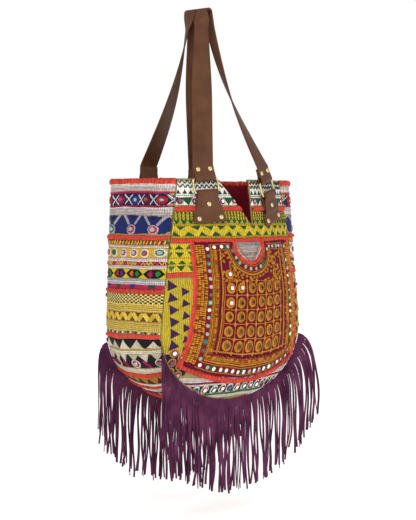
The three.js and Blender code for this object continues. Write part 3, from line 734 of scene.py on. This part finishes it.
def sewPatch(bm, glass):
    mustard, orange, maroon = ("#c4841c", "#b4741a"), ("#cc8c24", "#9c3c22"), "#761131"
    rings = ("#8c2a2a", "#6a2a20", "#2f7a4a", "#8c2a2a", "#7a3a1c")
    half, tall, scoop = patch["half"], patch["tall"], patch["scoop"]

    def hatch(bm, _, length):
        for edge in (-8.5, -3, 3):
            for _, x in spaced(0, length, 3.3, 0.2):
                colour = orange[random.random() < 0.16]
                stamp(bm, 4, 3.4, x, edge, 1.5, colour, 34 if edge > 0 else -34, (0.55, 1.05))

    def mirrors(bm, glass, length):
        ground(bm, 0, length, -4.6, 4.6, maroon, 0.6)
        for edge in (-5, 5):
            ribbon(bm, 0, length, edge, 1.9, 1.3, mustard[1])
        for k, x in spaced(0, length, 12.5):
            ringedMirror(bm, glass, x, 0, 3.1, rings[k % len(rings)])

    def stripe(bm, _, length):
        for row in range(4):
            ribbon(bm, 0, length, -4.5 + 3 * row, 2.4, 1.6, mustard[row % 2], wobble=0.6)
        for _, x in spaced(0, length, 3.6, 0.2):
            stamp(bm, 4, 2.6, x, 1.5, 1.9, orange[random.random() < 0.3], 34, (0.5, 1.1))
        triangleRow(bm, 0, length, -9.5, -4.2, 10, (maroon,), height=1.9)
        ribbon(bm, 0, length, 11.5, 2.6, 1.4, mustard[0], wobble=0.3)

    def line(bm, _, length):
        ribbon(bm, 0, length, 0, 1.8, 1.1, mustard[1], wobble=0.4)

    def rim(bm, _, length):
        ribbon(bm, 0, length, 0, 4, 1.6, mustard[0])
        for _, x in spaced(0, length, 8):
            stamp(bm, 4, 3, x, 5, 1.4, mustard[1], 45)

    for side in (-1, 1):
        head, low = -5, 7 - tall
        for offset, sew, foot in ((10, hatch, 0), (20, mirrors, 5), (32, stripe, 16)):
            x = side * (half - offset)
            start, end = ((x, head), (x, low + foot))[::-side]
            layAlong(bm, glass, start, end, sew)
    for start, end, y, sew in (
        (18 - half, half - 18, 9 - tall, mirrors), (28 - half, half - 28, 22 - tall, stripe),
        (26 - half, scoop[0] - 46, -9, mirrors), (scoop[0] + 46, half - 26, -9, mirrors),
    ):
        layAlong(bm, glass, (start, y), (end, y), sew)
    layAround(bm, glass, scoop, 47, 190, 350, mirrors)
    layAround(bm, glass, scoop, 56, 194, 346, rim)
    pitch, across, columns, rows = patch["pitch"], patch["pitchAcross"], patch["columns"], patch["rows"]
    for row in range(-2, rows):
        for column in range(columns):
            x = patch["middle"] + (column - (columns - 1) / 2) * across + about(0.8)
            y = patch["firstRow"] - row * pitch + about(0.8)
            if (Vector((x, y)) - Vector(scoop)).length < 70:
                continue
            stamp(bm, 14, 8.4, x, y, 1.3, mustard[0])
            stamp(bm, 14, 6.2, x, y, 1.6, maroon)
            # painted reflection: discs at the upper left get light glass, the rest dark glass
            glinting = row + column < 2 and row < 2
            ringedMirror(bm, glass, x, y, 3.2, mustard[1], None, 0.7, "#f2f2f0" if glinting else "#4a4a42")
            for side in (-1, 1):
                stamp(bm, 4, 3.6, x + across / 2, y + side * pitch / 2, 1.2, orange[0], 0, (0.7, 1))
    left, right = [patch["middle"] + way * columns * across / 2 for way in (-1, 1)]
    for k in range(patch["seeds"]):
        x = random.uniform(left - 6, right + 8)
        y = random.uniform(patch["firstRow"] + 6, -20)
        if (Vector((x, y)) - Vector(scoop)).length > 63:
            stamp(bm, 4, 2.4, x, y, 1.0, mustard[k % 2], 45)
    for row in range(rows + 1):
        y = patch["firstRow"] - (row - 0.5) * pitch
        layAlong(bm, glass, (left, y), (right, y), line)
    for column in range(columns + 1):
        x, top = left + column * across, patch["firstRow"] + pitch / 2
        layAlong(bm, glass, (x, top), (x, top - rows * pitch), line)


# a grid shaped by where(i, j) with i and j from 0 to 1
def shapedGrid(bm, columns, rows, where):
    made = bmesh.ops.create_grid(bm, x_segments=columns, y_segments=rows, size=1)
    for vert in made["verts"]:
        vert.co = where((vert.co.x + 1) / 2, (1 - vert.co.y) / 2)
    return made["verts"]


# flat outline of a panel, rows level above the corners and bending with the seam below
def panelFlat(i, j):
    p, share = 2 * i - 1, 0.62
    if j < share:
        drop = bag["cornerDrop"] * j / share
        return Vector((p * panelEdge(drop), -drop, 0))
    q, low = (j - share) / (1 - share), math.sqrt(0.5)
    angle, deep = q * math.pi / 4, bag["cornerDepth"] - 1
    drop = bag["cornerDrop"] + deep * math.sin(angle)
    drop += q ** 1.5 * deep * (math.sqrt(1 - (p * low) ** 2) - low)
    return Vector((p * panelEdge(bag["cornerDrop"]) * math.cos(angle), -drop, 0))


gussetHalf = 75


def placeFront(x, y, rise):
    return onPanel(-1, x, -y, rise)[0]


def placeBack(x, y, rise):
    return onPanel(1, -x, -y, rise)[0]


def placeLeft(x, y, rise):
    return onGusset(-y, min(max(-x / gussetHalf, -1), 1), rise)[0]


def placeRight(x, y, rise):
    return onGusset(seamLength + y, min(max(x / gussetHalf, -1), 1), rise)[0]


# one sheet: shape has its grid, flat outline, place and trim, layer how deep it lies and how thick it is
def makeCloth(name, shape, layer, material, slot, node):
    columns, rows, flat, place, trim = shape
    sunk, thickness = layer
    bm = bmesh.new()
    shapedGrid(bm, columns, rows, flat)
    if trim:
        trim(bm)
    wrap(bm, lambda x, y, z: place(x, y, z - sunk))
    piece = addPiece(bm, name, material, slot, (node,))
    skin = piece.modifiers.new("thickness", "SOLIDIFY")
    skin.thickness = thickness * mm
    skin.offset = -1
    return piece


def gussetFlat(i, j):
    return Vector(((2 * i - 1) * gussetHalf, -(5 + j * (seamLength - 10)), 0))


frontShape = (84, 96, panelFlat, placeFront, trimFront)
backShape = (60, 70, panelFlat, placeBack, None)
sideShape = (40, 200, gussetFlat, placeLeft, None)
outer, inner = (0, bag["wall"]), (bag["wall"] + 1.2, bag["lining"])
for key, name, shape, layer, material, slot, node in (
    ("front", "front_cloth", frontShape, outer, "cloth", "embroidered_cloth", "front_panel"),
    ("back", "back_cloth", backShape, outer, "backCloth", "embroidered_cloth", "back_panel"),
    ("gusset", "gusset_cloth", sideShape, outer, "cloth", "embroidered_cloth", "gusset"),
    ("liningFront", "lining_front_cloth", frontShape, inner, "lining", "lining", "lining_front"),
    ("liningBack", "lining_back_cloth", backShape, inner, "lining", "lining", "lining_back"),
    ("liningSides", "lining_side_cloth", sideShape, inner, "lining", "lining", "lining_sides"),
):
    makeCloth(name, shape, layer, material, slot, node)
print("cloth shaped")


# rows run a little crooked, as sewn by hand; designs may be stretched along the row
def sewOn(name, sew, place, trim=None, slot="embroidered_cloth", stretch=(1, 1)):
    crooked = 1.6
    bm, glass = startSewing(), startSewing()
    sew(bm, glass)
    seed = random.random() * 30
    for made, label, material in ((bm, "_threads", "thread"), (glass, "_mirrors", "mirror")):
        for vert in made.verts:
            x, y, _ = vert.co
            vert.co.x = (x + 0.6 * crooked * noise.noise(Vector((x / 30, y / 22, seed + 9)))) * stretch[0]
            vert.co.y = (y + crooked * noise.noise(Vector((x / 26, y / 40, seed)))) * stretch[1]
        if trim:
            trim(made)
        wrap(made, place)
        if made.verts:
            finishPiece(made, name + label, material, slot, smooth=False)


# the side bands are drawn narrow, then stretched to the strip's full width
sideHalf = 53
for word, place in (("left", placeLeft), ("right", placeRight)):
    sewOn(word + "_side", lambda bm, glass: sewGussetBands(bm, glass, -sideHalf, sideHalf), place,
          stretch=(gussetHalf / sideHalf, 0.97))
sewOn("front", sewFrontBands, placeFront, trimFront)
sewOn("scoop", sewScoop, placeFront)
sewOn("back", lambda bm, glass: sewGussetBands(bm, glass, -panelHalf, panelHalf), placeBack, trimToPanel)
print("bands sewn")


def patchFlat(i, j):
    return Vector(((2 * i - 1) * patch["half"], -j * patch["tall"], 0))


patchShape = (70, 60, patchFlat, onPatch, outOfScoop)
makeCloth("patch_cloth", patchShape, (-patch["rise"], 1.4), "patchCloth", "mirror_cloth",
                           "mirror_patch")
sewOn("patch", sewPatch, lambda x, y, z: onPatch(x, y, z + patch["rise"]), None, "mirror_cloth")


# rolled coral edging around the patch and its scoop
def makePatchEdging():
    bm, spare = startSewing(), bmesh.new()
    half, tall, scoop = patch["half"] + 4.5, patch["tall"] + 4.5, patch["scoop"]
    reach = patch["scoopRadius"] - 3.5

    def roll(bm, _, length):
        ribbon(bm, -2, length + 2, 0, 7.5, 4.4, coral, cell=1.3, crosswise=7, wobble=1.2, sink=0.3, roll=0.9)

    corners = ((-half, 0), (-half, -tall), (half, -tall), (half, 0))
    for start, end in zip(corners, corners[1:]):
        layAlong(bm, spare, start, end, roll)
    layAround(bm, spare, scoop, reach, 180, 360, roll)
    spare.free()
    wrap(bm, onPatch)
    finishPiece(bm, "patch_edging", "coral", "coral_binding", ("patch_binding",))


makePatchEdging()


# sweeps closed cross-sections along frames of (middle, across, face); each section is a list of points
def sweep(bm, frames, sections, closed=False):
    around = len(sections[0])
    along = len(frames) if closed else len(frames) - 1

    def where(i, j):
        k, n = round(i * along) % len(frames), round(j * around) % around
        middle, across, face = frames[k]
        a, b = sections[k][n]
        return (middle + across * a + face * b) * mm

    verts = shapedGrid(bm, along, around, where)
    bmesh.ops.remove_doubles(bm, verts=verts, dist=1e-7)


def capEnds(bm):
    bmesh.ops.holes_fill(bm, edges=[edge for edge in bm.edges if edge.is_boundary], sides=0)


# section of a flat strap with softly rounded edges
def strapSection(width, thick):
    edge = thick / 2
    half = width / 2 - edge
    turns = [math.radians(angle) for angle in (-90, -45, 0, 45, 90)]
    right = [(half + edge * math.cos(t), edge * math.sin(t)) for t in turns]
    return [(-half, -edge), (half * 0.3, -edge)] + right + [(half * 0.3, edge), (-half, edge)] + [
        (-half - edge * math.cos(t), edge * math.sin(t)) for t in (turns[3], turns[2], turns[1])]


# points round an oval, a twelfth of a turn apart
def oval(tall, wide):
    turns = [a * math.pi / 6 for a in range(12)]
    return [(tall * math.cos(t), wide * math.sin(t)) for t in turns]


# coral roll over each side's rim, uneven as rolled by hand
rimRolls = {"half": 74, "y": -4.5, "tall": 5.2, "wide": 4.0, "steps": 110, "wobble": 0.9}


def makeRimRoll(name, node, place):
    bm = startSewing()
    frames, sections = [], []
    steps, y, up = rimRolls["steps"], rimRolls["y"], Vector((0, 0, 1))
    for k in range(steps + 1):
        x = (2 * k / steps - 1) * rimRolls["half"]
        middle = place(x, y, -bag["wall"] / 2) / mm
        along = (place(x + 1, y, 0) - place(x - 1, y, 0)).normalized()
        middle.z += rimRolls["wobble"] * noise.noise(Vector((x / 6, 0, 7)))
        frames.append((middle, up, along.cross(up)))
        puff = 1 + 0.2 * math.sin(k * 1.9) + 0.16 * about(1)
        sections.append(oval(rimRolls["tall"] * (0.9 + 0.1 * puff), rimRolls["wide"] * puff))
    sweep(bm, frames, sections)
    capEnds(bm)
    dye(bm, bm.verts, coral)
    markFlat(bm, lambda co: co.yz)
    finishPiece(bm, name, "coral", "coral_binding", (node,))


makeRimRoll("rim_roll_left", "rim_binding_left", placeLeft)
makeRimRoll("rim_roll_right", "rim_binding_right", placeRight)
print("patch and edgings made")

# handles: x and lean of both ends of each strap, in millimetres and degrees as in the solids; twist is the
# share of a leg's quarter turn that is spread along it
handles = {
    "front": {"side": -1, "ends": ((-74, 4), (70, 14)), "twist": (0, 0.85), "hookY": -5.5},
    "back": {"side": 1, "ends": ((-28, 0), (84, 0)), "twist": (0.65, 0.65), "hookY": 20},
    "bow": 11, "tabFoot": -68, "tabWidth": 38, "tabFlare": 22, "hookTurn": 74, "legSteps": 48,
    "leather": 2.6, "width": 37, "hookWidth": 24, "hookZ": -5, "hookRadius": 6.3, "drop": 40, "standoff": 2.4,
    "bar": 3.5, "barRise": 4.85, "turn": 3.55, "stacked": 4.25, "flat": 1.3,
    "ring": {"width": 48, "upper": 0, "lower": -22, "corner": 5},
    "rivet": {"head": 4.0, "rise": 2.2},
    "tabRivets": ((0, -40, 4.25), (-20, -61, 1.3), (20, -61, 1.3)),
    "strapRivets": ((-11, 14, 6.3), (11, 14, 6.3)),
}


# where one end of a strap meets the panel, leaning about its tab's foot: middle, across, up and outward
def strapEnd(side, x, lean):
    plain = Vector((x, panelY(side, x, handles["drop"]), bag["rim"] - handles["drop"]))
    out = onPanel(side, x, handles["drop"])[1]
    up = (Vector((0, 0, 1)) - out * out.z).normalized()
    foot = plain + up * (handles["drop"] + handles["tabFoot"]) + out * handles["standoff"]
    up.rotate(Matrix.Rotation(math.radians(lean), 3, out))
    return foot - up * handles["tabFoot"], up.cross(out), up, out


def endPoint(end, a, height, rise):
    return end[0] + end[1] * a + end[2] * height + end[3] * rise


def arcPath(height, rise, radius, start, stop, steps=8):
    turns = [math.radians(start + (stop - start) * k / steps) for k in range(steps + 1)]
    return [(height + radius * math.sin(t), rise + radius * math.cos(t)) for t in turns]


# frames along a path of (height, rise) in a strap end's plane
def pathFrames(end, path):
    frames = []
    for k, (height, rise) in enumerate(path):
        before, after = path[max(0, k - 1)], path[min(len(path) - 1, k + 1)]
        way = (end[2] * (after[0] - before[0]) + end[3] * (after[1] - before[1])).normalized()
        frames.append((endPoint(end, 0, height, rise), end[1], end[1].cross(way)))
    return frames


def makeLeather(name, frames, widths):
    bm = bmesh.new()
    sweep(bm, frames, [strapSection(width, handles["leather"]) for width in widths])
    capEnds(bm)
    finishPiece(bm, "leather_" + name, "leather", "strap_leather", (name,))


# a tab goes round the ring's lower bar and down over its own short end, then flares
def makeTab(name, end):
    stacked, flat = handles["stacked"], handles["flat"]
    loop = arcPath(handles["ring"]["lower"], handles["barRise"], handles["turn"], 180, 0)
    path = [(-44, flat), (-34, flat)] + loop + [
        (-29, stacked + 1.2), (-35, stacked), (-46, stacked), (-49, stacked - 0.9), (-52, flat + 0.8),
        (-55.5, flat), (-60, flat), (-64, flat), (handles["tabFoot"], flat)]
    widths = [handles["tabWidth"] + handles["tabFlare"] * ease(-height, 28, 68) for height, _ in path]
    makeLeather(name, pathFrames(end, path), widths)


def makeRing(name, end):
    ring = handles["ring"]
    low, high, corner, thick = ring["lower"], ring["upper"], ring["corner"], handles["bar"] / 2
    half = ring["width"] / 2 - thick
    corners = ((half - corner, high - corner, 0), (-half + corner, high - corner, 90),
               (-half + corner, low + corner, 180), (half - corner, low + corner, 270))
    spots = []
    for x, height, start in corners:
        for k in range(7):
            angle = math.radians(start + 15 * k)
            spots.append((x + corner * math.cos(angle), height + corner * math.sin(angle)))
    frames = []
    for k, (x, height) in enumerate(spots):
        way = Vector(spots[(k + 1) % len(spots)]) - Vector(spots[k - 1])
        away = (end[1] * way.y - end[2] * way.x).normalized()
        frames.append((endPoint(end, x, height, handles["barRise"]), away, end[3]))
    bm = bmesh.new()
    sweep(bm, frames, [oval(thick, thick)] * len(frames), True)
    finishPiece(bm, "gilt_" + name, "gilt", "gilt_metal", (name,))


def makeRivet(name, end, a, height, rise):
    rivet = handles["rivet"]
    bm = bmesh.new()
    made = bmesh.ops.create_uvsphere(bm, u_segments=20, v_segments=12, radius=1)
    top = rise + handles["leather"] / 2
    for vert in made["verts"]:
        x, y, z = vert.co
        dome = max(z, -0.15) * rivet["rise"]
        vert.co = endPoint(end, a + x * rivet["head"], height + y * rivet["head"], top + dome) * mm
    finishPiece(bm, "gilt_" + name, "gilt", "gilt_metal", (name,))


# one strap: folded back around each ring's upper bar, then up to the hook and over it
def makeStrap(name, hand, ends):
    axle, turn, legSteps = handles["barRise"], handles["turn"], handles["legSteps"]
    wide, slim = handles["width"], handles["hookWidth"]
    near, far = axle - 1.475, axle + 1.475
    loop = [math.radians(t) for t in range(0, 181, 22)]
    fold = [(22, near), (17, near), (12, near), (6, axle - 2.675)]
    fold += [(-turn * math.sin(t), axle - turn * math.cos(t)) for t in loop]
    fold += [(6, axle + 2.675), (12, far), (17, far), (22, far)]
    hook = Vector((0, hand["hookY"], handles["hookZ"]))
    middles, faces, widths = [], [], []
    for end, way, twist in zip(ends, (-1, 1), hand["twist"]):
        leg = pathFrames(end, fold)
        points = [spot[0] for spot in leg]
        looks = [spot[2] for spot in leg]
        radials = []
        for k in range(9):
            angle = math.radians(handles["hookTurn"] * (1 - k / 8))
            radials.append(Vector((way * math.sin(angle), 0, math.cos(angle))))
        arc = [hook + radial * handles["hookRadius"] for radial in radials]
        start, stop, plain = points[-1], arc[0], looks[-1]
        inward = Vector((-start.x, -start.y, 0)).normalized() * handles["bow"]
        for k in range(1, legSteps):
            share = k / legSteps
            points.append(start.lerp(stop, share) + inward * math.sin(math.pi * share))
            turned = twist * share + (1 - twist) * ease(share, 0.88, 1)
            looks.append(plain.lerp(radials[0], turned).normalized())
        points += arc
        looks += radials
        legWidths = [wide] * len(fold)
        for k in range(len(points) - len(fold)):
            opened = ease(1 - k / legSteps, 0, 0.6)
            legWidths.append(slim + (wide - slim) * opened)
        if way > 0:
            points, looks, legWidths = points[-2::-1], looks[-2::-1], legWidths[-2::-1]
        middles += points
        faces += looks
        widths += legWidths
    frames = []
    for k, middle in enumerate(middles):
        way = (middles[min(k + 1, len(middles) - 1)] - middles[max(k - 1, 0)]).normalized()
        face = (faces[k] - way * faces[k].dot(way)).normalized()
        frames.append((middle, way.cross(face), face))
    makeLeather(name, frames, widths)


for label in ("front", "back"):
    hand = handles[label]
    ends = [strapEnd(hand["side"], x, lean) for x, lean in hand["ends"]]
    for end, word in zip(ends, ("left", "right")):
        makeTab(f"tab_{label}_{word}", end)
        makeRing(f"ring_{label}_{word}", end)
        for k, (a, height, rise) in enumerate(handles["tabRivets"] + handles["strapRivets"]):
            makeRivet(f"rivet_{label}_{word}_{k + 1}", end, a, height, rise)
    makeStrap(f"handle_{label}", hand, ends)
print("handles made")

# suede fringe along both lower seams: a sewn header, cut into narrow strands
fringe = {"start": 250, "header": 9, "length": 149, "pitch": 3.8, "width": 3.7, "thick": 1.4, "stand": 1.6,
          "steps": 18, "loose": 0.055, "droop": 12, "frontDroop": 15, "twist": 1.3, "turn": 0.35,
          "headerSteps": 4, "headerColumns": 150, "headerThick": 1.7}


# how a strip of suede leaves the seam and bends over to hang
def suedeRoute(side, along, length, steps, loose=0.0):
    x, drop, nx, nz = seamAt(along)
    plan = planAt(drop)
    seat = Vector((x, side * (plan["depth"] if side < 0 else plan["rear"]), bag["rim"] - drop))
    out = Vector((nx, 0, nz))
    sideways = abs(nx)
    leave = Vector((nx * 0.75, side * (0.3 + 0.55 * sideways), nz)).normalized()
    droop = fringe["droop"] + (fringe["frontDroop"] if side < 0 else 0) * sideways
    point = seat + out * fringe["stand"]
    drift = Vector((about(1), about(1), 0)) * loose
    points = [point]
    for k in range(steps):
        s = length * (k + 0.5) / steps
        keep = math.exp(-s / droop)
        heading = (leave * keep + Vector((0, 0, -1)) * (1 - keep) + drift * (1 - keep)).normalized()
        point = point + heading * length / steps
        points.append(point)
    return points, Vector((nz, 0, -nx)).normalized()


def makeFringe(label, side):
    first = next(l for l, p in zip(seamLengths, seamPoints) if p[1] >= fringe["start"])
    last = seamLength - first
    bm = bmesh.new()
    count = round((last - first) / fringe["pitch"])
    for k in range(count):
        along = first + (k + 0.5) * (last - first) / count + about(0.5)
        length = fringe["length"] * random.uniform(0.9, 1.0)
        points, tangent = suedeRoute(side, along, length, fringe["steps"], fringe["loose"])
        twist = fringe["twist"] * about(1)
        turn = fringe["turn"] * about(1)
        wave, waveTurn = random.uniform(0.6, 3.2), random.uniform(0, 6.3)
        frames, sections = [], []
        for n, point in enumerate(points):
            way = (points[min(n + 1, len(points) - 1)] - points[max(n - 1, 0)]).normalized()
            share = n / fringe["steps"]
            across = (tangent - way * tangent.dot(way)).normalized()
            across.rotate(Matrix.Rotation(turn * share + twist * share * share, 3, way))
            face = way.cross(across)
            sway = (math.sin(share * 7 + waveTurn) - math.sin(waveTurn)) * wave * share
            frames.append((point + across * sway + face * sway * 0.6, across, face))
            half = fringe["width"] / 2 * (1.12 if share < 0.1 else 0.9 + 0.1 * math.sin(k * 2.1))
            thick = fringe["thick"] / 2
            edge = thick * 0.6
            sections.append([(-half, -edge), (0, -thick), (half, -edge),
                             (half, edge), (0, thick), (-half, edge)])
        sweep(bm, frames, sections)
    steps = fringe["headerSteps"]

    def onHeader(i, j):
        points, _ = suedeRoute(side, first + i * (last - first), fringe["header"], steps)
        return points[round(j * steps)] * mm

    verts = shapedGrid(bm, fringe["headerColumns"], steps, onHeader)
    skirt = {face for vert in verts for face in vert.link_faces}
    bmesh.ops.solidify(bm, geom=list(skirt), thickness=fringe["headerThick"] * mm)
    finishPiece(bm, "suede_" + label, "suede", "fringe_suede", (label,), smooth=False)


makeFringe("fringe_front", -1)
makeFringe("fringe_back", 1)
print("fringe made")


# plain white studio: floor, even sky and two big soft lamps
studio = {"floor": -0.80, "floorSize": 8.0, "sky": 0.52, "backdrop": 1.0, "floorGlow": 0.58,
          "aim": (0, 0, -0.4), "lamps": (((-2.0, -1.6, 1.3), 1.4, 31), ((1.2, -2.6, 0.6), 1.8, 11))}


def makeStudio():
    bm = bmesh.new()
    bmesh.ops.create_grid(bm, x_segments=1, y_segments=1, size=studio["floorSize"],
                          matrix=Matrix.Translation((0, 0, studio["floor"])))
    mesh = bpy.data.meshes.new("floor")
    bm.to_mesh(mesh)
    bm.free()
    floor = bpy.data.objects.new("floor", mesh)
    bpy.context.collection.objects.link(floor)
    paper, tree, surface = startMaterial("white_paper")
    plug(tree, surface, {"Base Color": linear("#f7f6f4"), "Emission Color": (1, 1, 1, 1),
                         "Emission Strength": studio["floorGlow"], "Roughness": 0.9})
    mesh.materials.append(paper)
    world = bpy.data.worlds.new("studio")
    world.use_nodes = True
    air = world.node_tree
    seen = addNode(air, "LightPath").outputs["Is Camera Ray"]
    glow = addNode(air, "MapRange", {0: seen, 3: studio["sky"], 4: studio["backdrop"]})
    plug(air, air.nodes["Background"], {0: (1, 1, 1, 1), 1: glow.outputs[0]})
    bpy.context.scene.world = world
    for place, size, power in studio["lamps"]:
        data = bpy.data.lights.new("lamp", "AREA")
        data.size = size
        data.energy = power
        lamp = bpy.data.objects.new("lamp", data)
        lamp.location = place
        aim = Vector(studio["aim"]) - Vector(place)
        lamp.rotation_euler = aim.to_track_quat("-Z", "Y").to_euler()
        bpy.context.collection.objects.link(lamp)
    bpy.context.scene.view_settings.view_transform = "Standard"


makeStudio()
